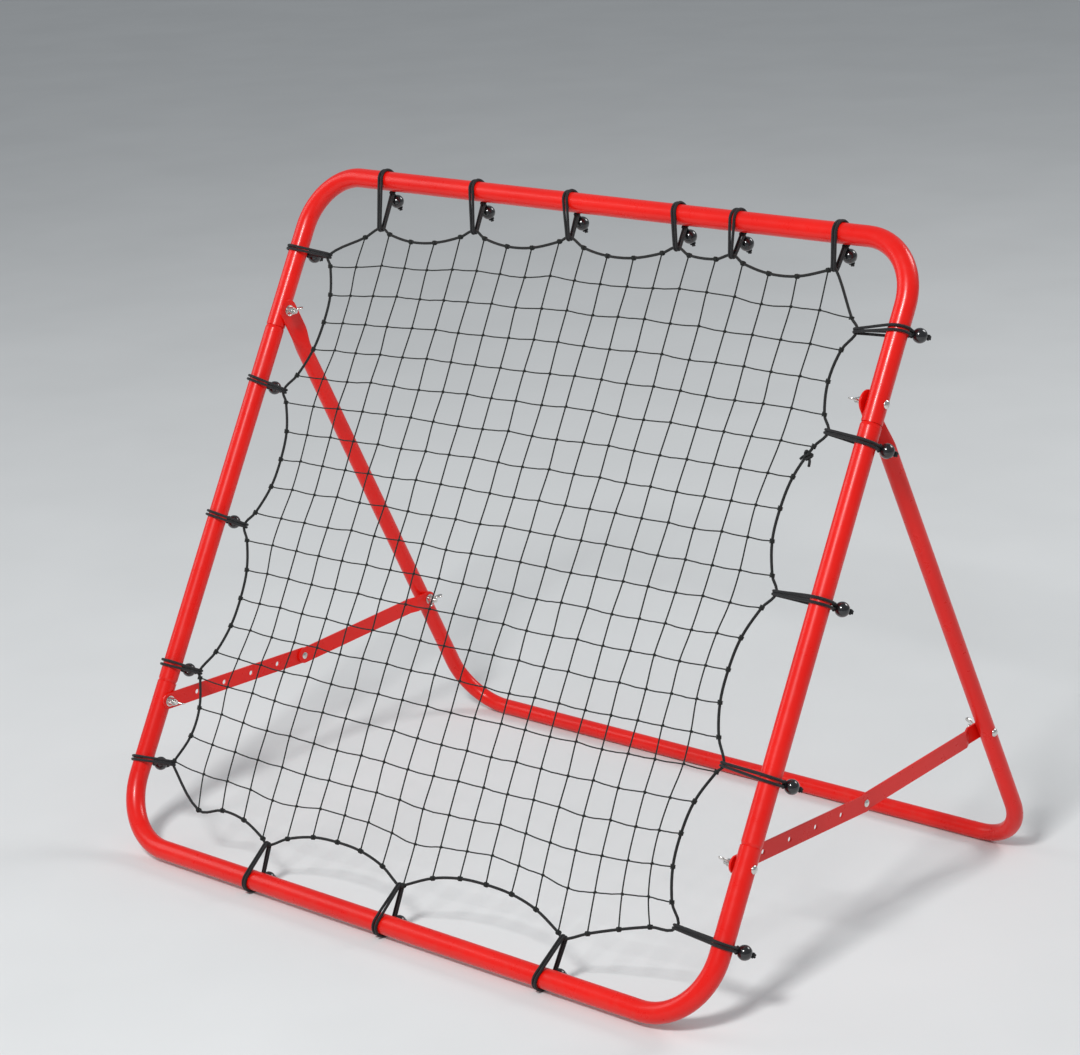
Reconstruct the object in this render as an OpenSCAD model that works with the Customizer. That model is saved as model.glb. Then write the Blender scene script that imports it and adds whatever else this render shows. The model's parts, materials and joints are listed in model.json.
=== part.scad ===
// Pitch back rebounder: a leaning tube frame with a square net hung in it on elastic ties,
// held up by a folding rear frame and a riveted two-bar stay on each side.
// Lengths are in millimetres. The front frame faces -Y and leans back towards +Y.

/* [Front frame] */
// Outer diameter of the front frame's tube
front_tube_d = 25; // [22:0.5:30]
// Width of the front frame between tube centres
frame_w = 975; // [900:5:1100]
// Height of the front frame between tube centres, along its slope
frame_h = 911; // [860:1:1000]
// Lean of the front frame from the vertical
lean = 29.5; // [25:0.5:33]
// Radius of the two top bends at the tube's centre
top_bend_r = 75; // [60:1:100]
// Radius of the two bottom bends at the tube's centre
bottom_bend_r = 85; // [60:1:100]
// Wall of every tube
wall = 1.2; // [1:0.1:1.5]
// Height of the upper plug-in joints, along the slope
upper_joint = 698; // [690:1:705]
// Height of the lower plug-in joints, along the slope
lower_joint = 208; // [203:1:215]
// Length of a plug-in spigot
spigot_l = 50; // [40:1:60]

/* [Rear frame] */
// Outer diameter of the rear frame's tube
rear_tube_d = 21; // [19:0.5:22]
// Width of the rear frame between tube centres
rear_w = 957; // [955:0.5:960]
// Leg length from the hinge to the centre of the ground bar
leg_l = 700; // [695:1:720]
// Radius of the rear bends at the tube's centre
rear_bend_r = 70; // [50:1:90]
// Height of the hinge, along the front frame's slope
hinge_at = 721.5; // [718:0.5:725]
// Width of the flattened top of a leg
tongue_w = 28; // [24:1:30]
// Thickness of the flattened top of a leg
tongue_t = 3.6; // [3:0.1:4]

/* [Stays] */
// Width of a stay bar
stay_w = 21; // [18:0.5:24]
// Thickness of a stay bar
stay_t = 2.5; // [2:0.1:2.5]
// Distance between neighbouring holes of the front bar
hole_pitch = 47.9; // [47.9:0.1:48.3]
// Height of the front stay bolt, along the front frame's slope
front_bolt_at = 185; // [183:0.5:187]
// Distance of the rear stay bolt from the hinge, along the leg
rear_bolt_at = 507.5; // [504:0.5:507]

/* [Net and ties] */
// Thickness of the netting
net_t = 1.5; // [1:0.5:3]
// Diameter of the border cord
border_d = 3.5; // [3:0.5:5]
// Diameter of the elastic cord
tie_d = 4; // [3:0.5:4.5]
// Diameter of a ball toggle
ball_d = 17; // [15:0.5:18]

/* [Fasteners] */
// Diameter of the bolts
bolt_d = 6; // [5:0.5:6]
// Diameter of a bolt's head
head_d = 10.5; // [10:0.5:13]

/* [Hidden] */
$fn = 64;

red = [0.85, 0.10, 0.07];
zinc = [0.78, 0.79, 0.80];
black = [0.06, 0.06, 0.07];

gap = 0.15;              // between faces that slide on each other
running = 0.05;          // radial clearance of a pivot
bore_spare = 0.3;        // radial clearance of a hole that nothing turns in

front_r = front_tube_d / 2;
rear_r = rear_tube_d / 2;
half_w = frame_w / 2;
half_rear_w = rear_w / 2;
bolt_r = bolt_d / 2;
spigot_r = front_r - wall - 0.05;
spigot_cone = 4;

// A tie goes round its tube at this radius, measured at the cord's centre.
tie_r = tie_d / 2;
wrap_r = front_r + tie_r + 0.6;
apex_r = border_d / 2 + tie_r + 2.2;

// The bottom ties carry the front frame, so its bar lies one cord above the ground.
bar_z = wrap_r + tie_r;
hinge_z = bar_z + hinge_at * cos(lean);
hinge_reach = hinge_at * sin(lean);
leg_slope = acos((hinge_z - rear_r) / leg_l);
rear_reach = hinge_reach + leg_l * sin(leg_slope);
bar_y = -(rear_reach + rear_r - bar_z) / 2;
hinge_y = bar_y + hinge_reach;

// Planes of the side stack, measured from the middle of the object.
tube_face = half_w - front_r;
leg_face = half_rear_w - rear_r;
tongue_x = tube_face - gap - tongue_t;
front_stay_x = tube_face - gap - stay_t;
rear_stay_x = front_stay_x - gap - stay_t;
rear_end_x = leg_face - gap - stay_t;

// Side view of the stay: front bolt, rear bolt and the rivet just under the line between them.
stay_l = 5 * hole_pitch;
front_pin = [bar_y + front_bolt_at * sin(lean), bar_z + front_bolt_at * cos(lean)];
rear_pin = [hinge_y + rear_bolt_at * sin(leg_slope), hinge_z - rear_bolt_at * cos(leg_slope)];
pin_run = rear_pin - front_pin;
stay_sag = acos(norm(pin_run) / 2 / stay_l);
run_slope = atan2(pin_run.y, pin_run.x);
front_stay_slope = run_slope - stay_sag;
rear_stay_slope = run_slope + stay_sag;
rivet_pin = front_pin + stay_l * [cos(front_stay_slope), sin(front_stay_slope)];
rivet_r = 2.5;
rivet_head_r = 4.5;

washer_r = 7;
washer_t = 1.2;
nut_l = 7;
nut_r = 5;
wing_r = 6;
wing_t = 2.2;
wing_lean = 20;
head_t = 3;
bolt_tip = 5;

// The flattened leg top: it stays flat as far as flat_end and is round from round_start on.
flat_end = 40;
round_start = 60;

// The joggle of the rear bar, measured from its bolt.
joggle_start = 24;
joggle_end = 34;

// Places on the front frame follow its width and height; they are given for 975 by 911.
function fit(p) = [p.x * frame_w / 975, p.y * frame_h / 911];

// Border cord: across and up-the-slope positions of the points that it runs through.
border_route = [for (p = [
    [-430, 802], [-400, 822], [-350, 848], [-328, 842], [-273, 838], [-210, 849], [-188, 860],
    [-166, 852], [-108, 848], [-50, 857], [-29, 867], [-6, 857], [60, 849], [122, 861], [142, 871],
    [183, 862], [227, 870], [246, 860], [304, 852], [360, 861], [378, 870], [397, 850], [414, 822],
    [433, 800], [420, 772], [415, 742], [421, 704], [433, 680], [409, 635], [399, 581], [408, 525],
    [425, 489], [405, 456], [393, 393], [400, 324], [421, 288], [403, 256], [390, 195], [394, 148],
    [420, 100], [410, 88], [344, 79], [290, 60], [269, 49], [240, 63], [142, 80], [40, 62], [6, 48], [-42, 67],
    [-115, 77], [-190, 64], [-227, 46], [-270, 61], [-350, 64], [-410, 82], [-434, 109], [-418, 148],
    [-420, 192], [-436, 232], [-413, 274], [-404, 331], [-413, 390], [-434, 431], [-413, 472],
    [-406, 529], [-416, 578], [-437, 615], [-408, 656], [-398, 711], [-408, 768]
]) fit(p)];

// Ties: the place of the loop along its tube, then the point where its apex holds the border cord.
top_tie_list = [[-364, [-350, 848]], [-201, [-188, 860]], [-42, [-29, 867]], [132, [142, 871]],
    [222, [227, 870]], [374, [378, 870]]];
left_tie_list = [[804, [-430, 802]], [621, [-437, 615]], [435, [-434, 431]], [231, [-436, 232]],
    [103, [-434, 109]]];
right_tie_list = [[807, [433, 800]], [489, [425, 489]], [285, [421, 288]], [96, [420, 100]]];
bottom_tie_list = [[-233, [-227, 46]], [-2, [6, 48]], [257, [269, 49]]];
hinge_tie_list = [[675, [433, 680]]];

// Ball toggles: distance towards the net and distance behind the tube, at the given cord and ball size.
ball_spare = (ball_d - 17) / 2 + (tie_d - 4) + front_r - 12.5;
top_ball = [20, 23.3 + ball_spare];
left_ball = [6.6, 24.9 + ball_spare];
right_ball = [-16.6 - ball_spare, 19.8 + ball_spare];
bottom_ball = [6.6, 24.9 + ball_spare];
knot_r = 2.8;
knot_gap = 1.7;
ball_bore_r = tie_r + 0.2;

// ---- shared shapes ----

// Lays out children drawn with X across, Z up the front frame's slope and Y straight behind it.
module on_front() {
    translate([0, bar_y, bar_z]) rotate([-lean, 0, 0]) children();
}

// Lays out children drawn with X across and Z up a leg, from the hinge line.
module on_leg() {
    translate([0, hinge_y, hinge_z]) rotate([leg_slope, 0, 0]) children();
}

// A cylinder along +X.
module bar_x(r, l) {
    rotate([0, 90, 0]) cylinder(r = r, h = l);
}

module both_sides() {
    children();
    mirror([1, 0, 0]) children();
}

module ring_profile(r) {
    difference() {
        circle(r = r);
        circle(r = r - wall);
    }
}

// A hollow tube along +Z.
module pipe(r, l) {
    linear_extrude(height = l) ring_profile(r);
}

// A quarter bend in the XZ plane: it starts at the origin going up and ends going towards -X.
module bend(r, bend_r) {
    translate([-bend_r, 0, 0]) rotate([90, 0, 0])
        rotate_extrude(angle = 90) translate([bend_r, 0]) ring_profile(r);
}

// An upright U open at the bottom, its bar at z = 0 and its legs leg_l long below the bends.
module u_tube(r, w, bend_r, leg_l) {
    translate([-w / 2 + bend_r, 0, 0]) rotate([0, 90, 0]) pipe(r, w - 2 * bend_r);
    both_sides() {
        translate([w / 2, 0, -bend_r]) bend(r, bend_r);
        translate([w / 2, 0, -bend_r - leg_l]) pipe(r, leg_l);
    }
}

// Holes across both legs of the front frame at one height up the slope.
module cross_holes(v) {
    both_sides() translate([half_w - front_r - 2, 0, v]) bar_x(bolt_r + bore_spare, front_tube_d + 4);
}

// ---- front frame ----

module top_tube() {
    color(red) on_front() difference() {
        translate([0, 0, frame_h])
            u_tube(front_r, frame_w, top_bend_r, frame_h - top_bend_r - upper_joint);
        cross_holes(hinge_at);
    }
}

module bottom_tube() {
    color(red) on_front() difference() {
        rotate([180, 0, 0]) u_tube(front_r, frame_w, bottom_bend_r, lower_joint - bottom_bend_r);
        cross_holes(front_bolt_at);
    }
}

// The reduced end of a side tube, drawn going up from the joint.
module spigot() {
    difference() {
        union() {
            translate([0, 0, -spigot_cone]) cylinder(r1 = front_r, r2 = spigot_r, h = spigot_cone);
            cylinder(r = spigot_r, h = spigot_l);
        }
        translate([0, 0, -spigot_cone - 1])
            cylinder(r1 = front_r - wall + wall / 4, r2 = spigot_r - wall, h = spigot_cone + 1);
        cylinder(r = spigot_r - wall, h = spigot_l + 1);
    }
}

module side_tube() {
    on_front() difference() {
        translate([half_w, 0, 0]) {
            translate([0, 0, lower_joint + spigot_cone])
                pipe(front_r, upper_joint - lower_joint - 2 * spigot_cone);
            translate([0, 0, upper_joint]) spigot();
            translate([0, 0, lower_joint]) rotate([180, 0, 0]) spigot();
        }
        cross_holes(hinge_at);
        cross_holes(front_bolt_at);
    }
}

module right_side_tube() {
    color(red) side_tube();
}

module left_side_tube() {
    color(red) mirror([1, 0, 0]) side_tube();
}

// ---- rear frame ----

// The flat, round-topped end of the right leg and the stretch where it turns into a tube.
module leg_top() {
    difference() {
        union() {
            translate([tongue_x, 0, 0]) bar_x(tongue_w / 2, tongue_t);
            translate([tongue_x, -tongue_w / 2, -flat_end]) cube([tongue_t, tongue_w, flat_end]);
            hull() {
                translate([tongue_x, -tongue_w / 2, -flat_end - 1]) cube([tongue_t, tongue_w, 1]);
                translate([half_rear_w, 0, -round_start]) cylinder(r = rear_r, h = 1, $fn = 32);
            }
        }
        translate([tongue_x - 1, 0, 0]) bar_x(bolt_r + running, tongue_t + 2);
    }
}

module rear_tube() {
    color(red) on_leg() difference() {
        union() {
            translate([0, 0, -leg_l]) rotate([180, 0, 0])
                u_tube(rear_r, rear_w, rear_bend_r, leg_l - rear_bend_r - round_start);
            both_sides() leg_top();
        }
        both_sides() translate([leg_face - 2, 0, -rear_bolt_at])
            bar_x(bolt_r + bore_spare, rear_tube_d + 4);
    }
}

// ---- stays ----

// Places children drawn with X across and Y along a bar that starts at a pin in the side view.
module at_pin(pin, slope) {
    translate([0, pin.x, pin.y]) rotate([slope, 0, 0]) children();
}

module stay_outline(x, thickness) {
    translate([x, 0, -stay_w / 2]) cube([thickness, stay_l, stay_w]);
    for (y = [0, stay_l]) translate([x, y, 0]) bar_x(stay_w / 2, thickness);
}

module front_stay() {
    at_pin(front_pin, front_stay_slope) difference() {
        stay_outline(front_stay_x, stay_t);
        translate([front_stay_x - 1, 0, 0]) bar_x(bolt_r + running, stay_t + 2);
        for (i = [1 : 4]) translate([front_stay_x - 1, i * hole_pitch, 0])
            bar_x(bolt_r + bore_spare, stay_t + 2);
        translate([front_stay_x - 1, stay_l, 0]) bar_x(rivet_r + running, stay_t + 2);
    }
}

// The rear bar steps inwards near its bolt, so that its end lies on the leg's inner side.
module rear_stay() {
    step = rear_stay_x - rear_end_x;
    edge = stay_w / 2;
    side_profile = [[rear_end_x, -edge], [rear_end_x, joggle_start], [rear_stay_x, joggle_end],
        [rear_stay_x, stay_l + edge], [rear_stay_x + stay_t, stay_l + edge],
        [rear_stay_x + stay_t, joggle_end], [rear_end_x + stay_t, joggle_start],
        [rear_end_x + stay_t, -edge]];
    at_pin(rear_pin, rear_stay_slope + 180) mirror([0, 0, 1]) difference() {
        intersection() {
            translate([0, 0, -edge]) linear_extrude(height = stay_w) polygon(side_profile);
            stay_outline(rear_end_x - 1, step + stay_t + 2);
        }
        translate([rear_end_x - 1, 0, 0]) bar_x(bolt_r + running, stay_t + 2);
        translate([rear_stay_x - 1, stay_l, 0]) bar_x(rivet_r + running, stay_t + 2);
    }
}

module right_front_stay() {
    color(red) front_stay();
}

module left_front_stay() {
    color(red) mirror([1, 0, 0]) front_stay();
}

module right_rear_stay() {
    color(red) rear_stay();
}

module left_rear_stay() {
    color(red) mirror([1, 0, 0]) rear_stay();
}

// ---- fasteners ----

// A round-headed pin along +X: a shank up to x = 0, then a domed head with a short straight rim.
module headed_pin(pin_r, pin_l, dome_r, dome_h) {
    steps = 6;
    rim = dome_h / 4;
    rise = dome_h - rim;
    ball_r = (dome_r * dome_r + rise * rise) / (2 * rise);
    half_angle = asin(dome_r / ball_r);
    cap = [for (i = [0 : steps])
        let (a = half_angle * (steps - i) / steps)
        [ball_r * sin(a), rim + rise - ball_r * (1 - cos(a))]];
    rotate([0, 90, 0]) rotate_extrude()
        polygon(concat([[0, -pin_l], [pin_r, -pin_l], [pin_r, 0], [dome_r, 0]], cap));
}

module rivet_head() {
    translate([0, rivet_pin.x, rivet_pin.y]) {
        translate([front_stay_x + stay_t, 0, 0]) headed_pin(rivet_r, stay_t, rivet_head_r, 2.5);
    }
}

module rivet_tail() {
    translate([0, rivet_pin.x, rivet_pin.y]) {
        translate([rear_stay_x, 0, 0]) mirror([1, 0, 0])
            headed_pin(rivet_r, stay_t, rivet_head_r, 1.8);
    }
}

module right_rivet_head() {
    color(zinc) rivet_head();
}

module left_rivet_head() {
    color(zinc) mirror([1, 0, 0]) rivet_head();
}

module right_rivet_tail() {
    color(zinc) rivet_tail();
}

module left_rivet_tail() {
    color(zinc) mirror([1, 0, 0]) rivet_tail();
}

// A round-headed bolt at a pin of the side view: its head bears on head_x, its nut on seat_x.
module bolt(pin, head_x, seat_x) {
    tip_x = seat_x - washer_t - nut_l - bolt_tip;
    both_sides() translate([head_x, pin.x, pin.y]) headed_pin(bolt_r, head_x - tip_x, head_d / 2, head_t);
}

module washer(pin, seat_x) {
    both_sides() translate([seat_x - washer_t, pin.x, pin.y]) difference() {
        bar_x(washer_r, washer_t);
        translate([-1, 0, 0]) bar_x(bolt_r + bore_spare, washer_t + 2);
    }
}

// The washers lie this far off the turning faces under them.
front_seat = front_stay_x - gap;
hinge_seat = tongue_x - gap;
rear_seat = rear_end_x - gap;
hinge_pin = [hinge_y, hinge_z];

module hinge_bolts() {
    color(zinc) bolt(hinge_pin, half_w + front_r, hinge_seat);
}

module front_stay_bolts() {
    color(zinc) bolt(front_pin, half_w + front_r, front_seat);
}

module rear_stay_bolts() {
    color(zinc) bolt(rear_pin, half_rear_w + rear_r, rear_seat);
}

module front_washers() {
    color(zinc) {
        washer(hinge_pin, hinge_seat);
        washer(front_pin, front_seat);
    }
}

module rear_washers() {
    color(zinc) washer(rear_pin, rear_seat);
}

// A wing nut whose seat is at seat_x and whose wings point away from it, turned about its bolt.
module wing_nut(pin, seat_x, turn) {
    translate([seat_x - washer_t - gap, pin.x, pin.y]) rotate([turn, 0, 0]) difference() {
        union() {
            translate([-nut_l, 0, 0]) rotate([0, 90, 0]) cylinder(r1 = nut_r - 1, r2 = nut_r, h = nut_l);
            for (side = [-1, 1]) translate([-nut_l / 2, side * 3, 0])
                rotate([0, 0, side * wing_lean]) translate([-1.5, side * wing_r, -wing_t / 2])
                    cylinder(r = wing_r, h = wing_t);
        }
        translate([-nut_l - wing_r, 0, 0]) bar_x(bolt_r + running, nut_l + wing_r + 1);
    }
}

module right_hinge_wing_nut() {
    color(zinc) wing_nut(hinge_pin, hinge_seat, 70);
}

module left_hinge_wing_nut() {
    color(zinc) mirror([1, 0, 0]) wing_nut(hinge_pin, hinge_seat, 100);
}

module right_front_wing_nut() {
    color(zinc) wing_nut(front_pin, front_seat, 50);
}

module left_front_wing_nut() {
    color(zinc) mirror([1, 0, 0]) wing_nut(front_pin, front_seat, 65);
}

module right_rear_wing_nut() {
    color(zinc) wing_nut(rear_pin, rear_seat, 20);
}

module left_rear_wing_nut() {
    color(zinc) mirror([1, 0, 0]) wing_nut(rear_pin, rear_seat, 110);
}

// ---- net ----

function unit(v) = v / norm(v);
function right_of(d) = [d.y, -d.x];

// Direction to the inner side at a point of a clockwise route, long enough for a mitred width of 1.
function inward(route, i) = let (
        n = len(route),
        a = right_of(unit(route[i] - route[(i + n - 1) % n])),
        b = right_of(unit(route[(i + 1) % n] - route[i])),
        m = unit(a + b)
    ) m / (m * a);

// A cord that follows a closed clockwise route in the XY plane.
module cord_loop(route, r) {
    sides = 8;
    n = len(route);
    points = [for (i = [0 : n - 1], k = [0 : sides - 1])
        let (p = route[i] + inward(route, i) * r * cos(360 * k / sides))
        [p.x, p.y, r * sin(360 * k / sides)]];
    faces = [for (i = [0 : n - 1], k = [0 : sides - 1])
        let (j = (i + 1) % n, l = (k + 1) % sides)
        [i * sides + k, i * sides + l, j * sides + l, j * sides + k]];
    polyhedron(points = points, faces = faces);
}

module border_cord() {
    color(black) on_front() rotate([90, 0, 0]) cord_loop(border_route, border_d / 2);
}

// The netting as one thin sheet inside the border cord, cut back round the ties.
module netting() {
    inset = border_d / 2 + 0.4;
    n = len(border_route);
    cut_r = apex_r + tie_r + 0.6;
    color(black) on_front() translate([0, net_t / 2, 0]) rotate([90, 0, 0]) difference() {
        linear_extrude(height = net_t)
            polygon([for (i = [0 : n - 1]) border_route[i] + inward(border_route, i) * inset]);
        for (t = concat(top_tie_list, left_tie_list, right_tie_list, bottom_tie_list, hinge_tie_list))
            translate([fit(t[1]).x, fit(t[1]).y, -1]) cylinder(r = cut_r, h = net_t + 2);
    }
}

// ---- elastic ties ----

// Each place draws its children with X towards the net, Y behind the frame and Z along the tube.
// The loop is closed: round the tube, then two runs to the apex, which holds the border cord.
function polar(r, a) = [r * cos(a), r * sin(a)];
function belt(reach) = let (a = acos((wrap_r - apex_r) / reach)) concat(
    [for (i = [0 : 5]) [reach, 0] + polar(apex_r, a - 2 * a * i / 5)],
    [for (i = [0 : 13]) polar(wrap_r, -a - (360 - 2 * a) * i / 13)]);

// Turns children drawn along Z so that they run from the tube's middle through the ball.
module through(ball) {
    rotate([0, 0, atan2(ball.y, ball.x)]) rotate([0, 90, 0]) children();
}

// The loop, and the short tail that starts at it, runs through the ball and ends in a knot.
module tie(run, ball) {
    knot_at = norm(ball) + ball_d / 2 + knot_gap;
    cord_loop(belt(norm(run)), tie_r);
    through(ball) {
        translate([0, 0, wrap_r - 0.6]) cylinder(r = tie_r, h = knot_at - wrap_r + 0.6);
        translate([0, 0, knot_at]) sphere(r = knot_r);
    }
}

module toggle(ball) {
    through(ball) translate([0, 0, norm(ball)]) difference() {
        sphere(r = ball_d / 2);
        translate([0, 0, -ball_d]) cylinder(r = ball_bore_r, h = 2 * ball_d);
    }
}

// From a tie's place on its tube to its apex: towards the net, then along the tube.
function top_run(t) = [frame_h - fit(t[1]).y, fit(t[1] - [t[0], 0]).x];
function bottom_run(t) = [fit(t[1]).y, -fit(t[1] - [t[0], 0]).x];
function left_run(t) = [fit(t[1]).x + half_w, fit(t[1] - [0, t[0]]).y];
function right_run(t) = [half_w - fit(t[1]).x, fit(t[1] - [0, t[0]]).y];

// Turns a tie about its tube's middle so that it points at its apex.
module towards(run) {
    rotate([0, -atan(run.y / run.x), 0]) children();
}

module at_top(t) {
    translate([fit([t[0], 0]).x, 0, frame_h]) rotate([0, 90, 0]) towards(top_run(t)) children();
}

module at_bottom(t) {
    translate([fit([t[0], 0]).x, 0, 0]) rotate([0, -90, 0]) towards(bottom_run(t)) children();
}

module at_left(t) {
    translate([-half_w, 0, fit([0, t[0]]).y]) towards(left_run(t)) children();
}

module at_right(t) {
    translate([half_w, 0, fit([0, t[0]]).y]) mirror([1, 0, 0]) towards(right_run(t)) children();
}

module top_ties() {
    color(black) on_front() for (t = top_tie_list) at_top(t) tie(top_run(t), top_ball);
}

module left_ties() {
    color(black) on_front() for (t = left_tie_list) at_left(t) tie(left_run(t), left_ball);
}

module right_loops(list) {
    color(black) on_front() for (t = list) at_right(t) tie(right_run(t), right_ball);
}

module bottom_ties() {
    color(black) on_front() for (t = bottom_tie_list) at_bottom(t) tie(bottom_run(t), bottom_ball);
}

module right_ties() {
    right_loops(right_tie_list);
}

module hinge_tie() {
    right_loops(hinge_tie_list);
}

module top_balls() {
    color(black) on_front() for (t = top_tie_list) at_top(t) toggle(top_ball);
}

module left_balls() {
    color(black) on_front() for (t = left_tie_list) at_left(t) toggle(left_ball);
}

module right_balls() {
    color(black) on_front() for (t = right_tie_list) at_right(t) toggle(right_ball);
}

module bottom_balls() {
    color(black) on_front() for (t = bottom_tie_list) at_bottom(t) toggle(bottom_ball);
}

module hinge_ball() {
    color(black) on_front() for (t = hinge_tie_list) at_right(t) toggle(right_ball);
}

top_tube();
left_side_tube();
right_side_tube();
bottom_tube();
rear_tube();
left_front_stay();
right_front_stay();
left_rear_stay();
right_rear_stay();
left_rivet_head();
right_rivet_head();
left_rivet_tail();
right_rivet_tail();
hinge_bolts();
front_stay_bolts();
rear_stay_bolts();
front_washers();
rear_washers();
left_hinge_wing_nut();
right_hinge_wing_nut();
left_front_wing_nut();
right_front_wing_nut();
left_rear_wing_nut();
right_rear_wing_nut();
netting();
border_cord();
top_ties();
left_ties();
right_ties();
bottom_ties();
hinge_tie();
top_balls();
left_balls();
right_balls();
bottom_balls();
hinge_ball();
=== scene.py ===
import json
import math
import random

import bmesh
import bpy
import numpy as np
from mathutils import Matrix, Vector


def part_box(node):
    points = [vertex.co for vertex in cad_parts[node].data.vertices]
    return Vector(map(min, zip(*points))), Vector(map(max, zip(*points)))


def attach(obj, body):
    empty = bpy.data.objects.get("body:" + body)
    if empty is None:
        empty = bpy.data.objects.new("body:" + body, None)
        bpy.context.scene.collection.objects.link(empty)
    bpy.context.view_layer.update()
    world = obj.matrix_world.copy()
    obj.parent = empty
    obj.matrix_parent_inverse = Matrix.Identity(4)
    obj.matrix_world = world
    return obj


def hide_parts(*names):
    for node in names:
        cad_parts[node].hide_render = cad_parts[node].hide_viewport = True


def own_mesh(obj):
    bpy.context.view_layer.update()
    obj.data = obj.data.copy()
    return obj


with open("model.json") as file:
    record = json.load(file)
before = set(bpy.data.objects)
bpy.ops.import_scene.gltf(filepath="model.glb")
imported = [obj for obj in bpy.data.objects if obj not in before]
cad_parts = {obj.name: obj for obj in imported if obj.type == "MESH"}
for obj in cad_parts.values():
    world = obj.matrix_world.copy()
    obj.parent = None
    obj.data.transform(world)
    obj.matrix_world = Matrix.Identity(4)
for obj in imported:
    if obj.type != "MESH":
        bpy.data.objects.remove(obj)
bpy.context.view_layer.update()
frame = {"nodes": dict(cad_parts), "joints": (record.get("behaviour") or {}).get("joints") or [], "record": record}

MM = 0.001
X = Vector((1, 0, 0))
nodes = frame["nodes"]
mounts = {m["name"]: m for m in frame["record"]["mounts"]}
joints = {j["name"]: j for j in frame["joints"]}

# The front frame's plane: its origin on the bottom bar's centre, UP along the slope, BACK behind it.
bar = mounts["front_ground_bar"]["pos_m"]
hinge = Vector(joints["rear_frame_fold"]["pos_m"])
LEAN = math.atan2(hinge.y - bar[1], hinge.z - bar[2])
ORIGIN = Vector((0, bar[1], bar[2]))
UP = Vector((0, math.sin(LEAN), math.cos(LEAN)))
BACK = Vector((0, math.cos(LEAN), -math.sin(LEAN)))
TUBE_R = mounts["front_ground_bar"]["dims"]["r_mm"]
side_lo, side_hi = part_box("right_side_tube")
HALF_W = (side_lo.x + side_hi.x) / 2 / MM
FRAME_H = (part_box("top_tube")[1].z - ORIGIN.z - TUBE_R * MM) / UP.z / MM


def on(u, v, n=0.0):
    """A point given in millimetres across, up the slope and behind the front frame's plane."""
    return ORIGIN + X * (u * MM) + UP * (v * MM) + BACK * (n * MM)


# ---- camera ----

AZIMUTH, ELEVATION, ROLL = 43.345, 16.79, -3.455
LENS = 103.7
DISTANCE = 3.796
TARGET = ORIGIN + Vector((0.0184, 0.2925, 0.4237))


def look():
    azimuth, elevation, roll = math.radians(AZIMUTH), math.radians(ELEVATION), math.radians(ROLL)
    back = Vector((
        math.sin(azimuth) * math.cos(elevation),
        -math.cos(azimuth) * math.cos(elevation),
        math.sin(elevation),
    ))
    right = Vector((math.cos(azimuth), math.sin(azimuth), 0))
    up = back.cross(right)
    turned = right * math.cos(roll) + up * math.sin(roll)
    upright = up * math.cos(roll) - right * math.sin(roll)
    cam = bpy.data.objects.new("camera", bpy.data.cameras.new("camera"))
    bpy.context.scene.collection.objects.link(cam)
    cam.data.sensor_fit = "HORIZONTAL"
    cam.data.sensor_width = 36
    cam.data.lens = LENS
    cam.data.clip_start, cam.data.clip_end = 0.1, 60
    m = Matrix((turned, upright, back)).transposed().to_4x4()
    m.translation = TARGET + back * DISTANCE
    cam.matrix_world = m
    bpy.context.scene.camera = cam


look()
bpy.context.scene.view_settings.view_transform = "Standard"


# ---- mesh code ----

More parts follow.
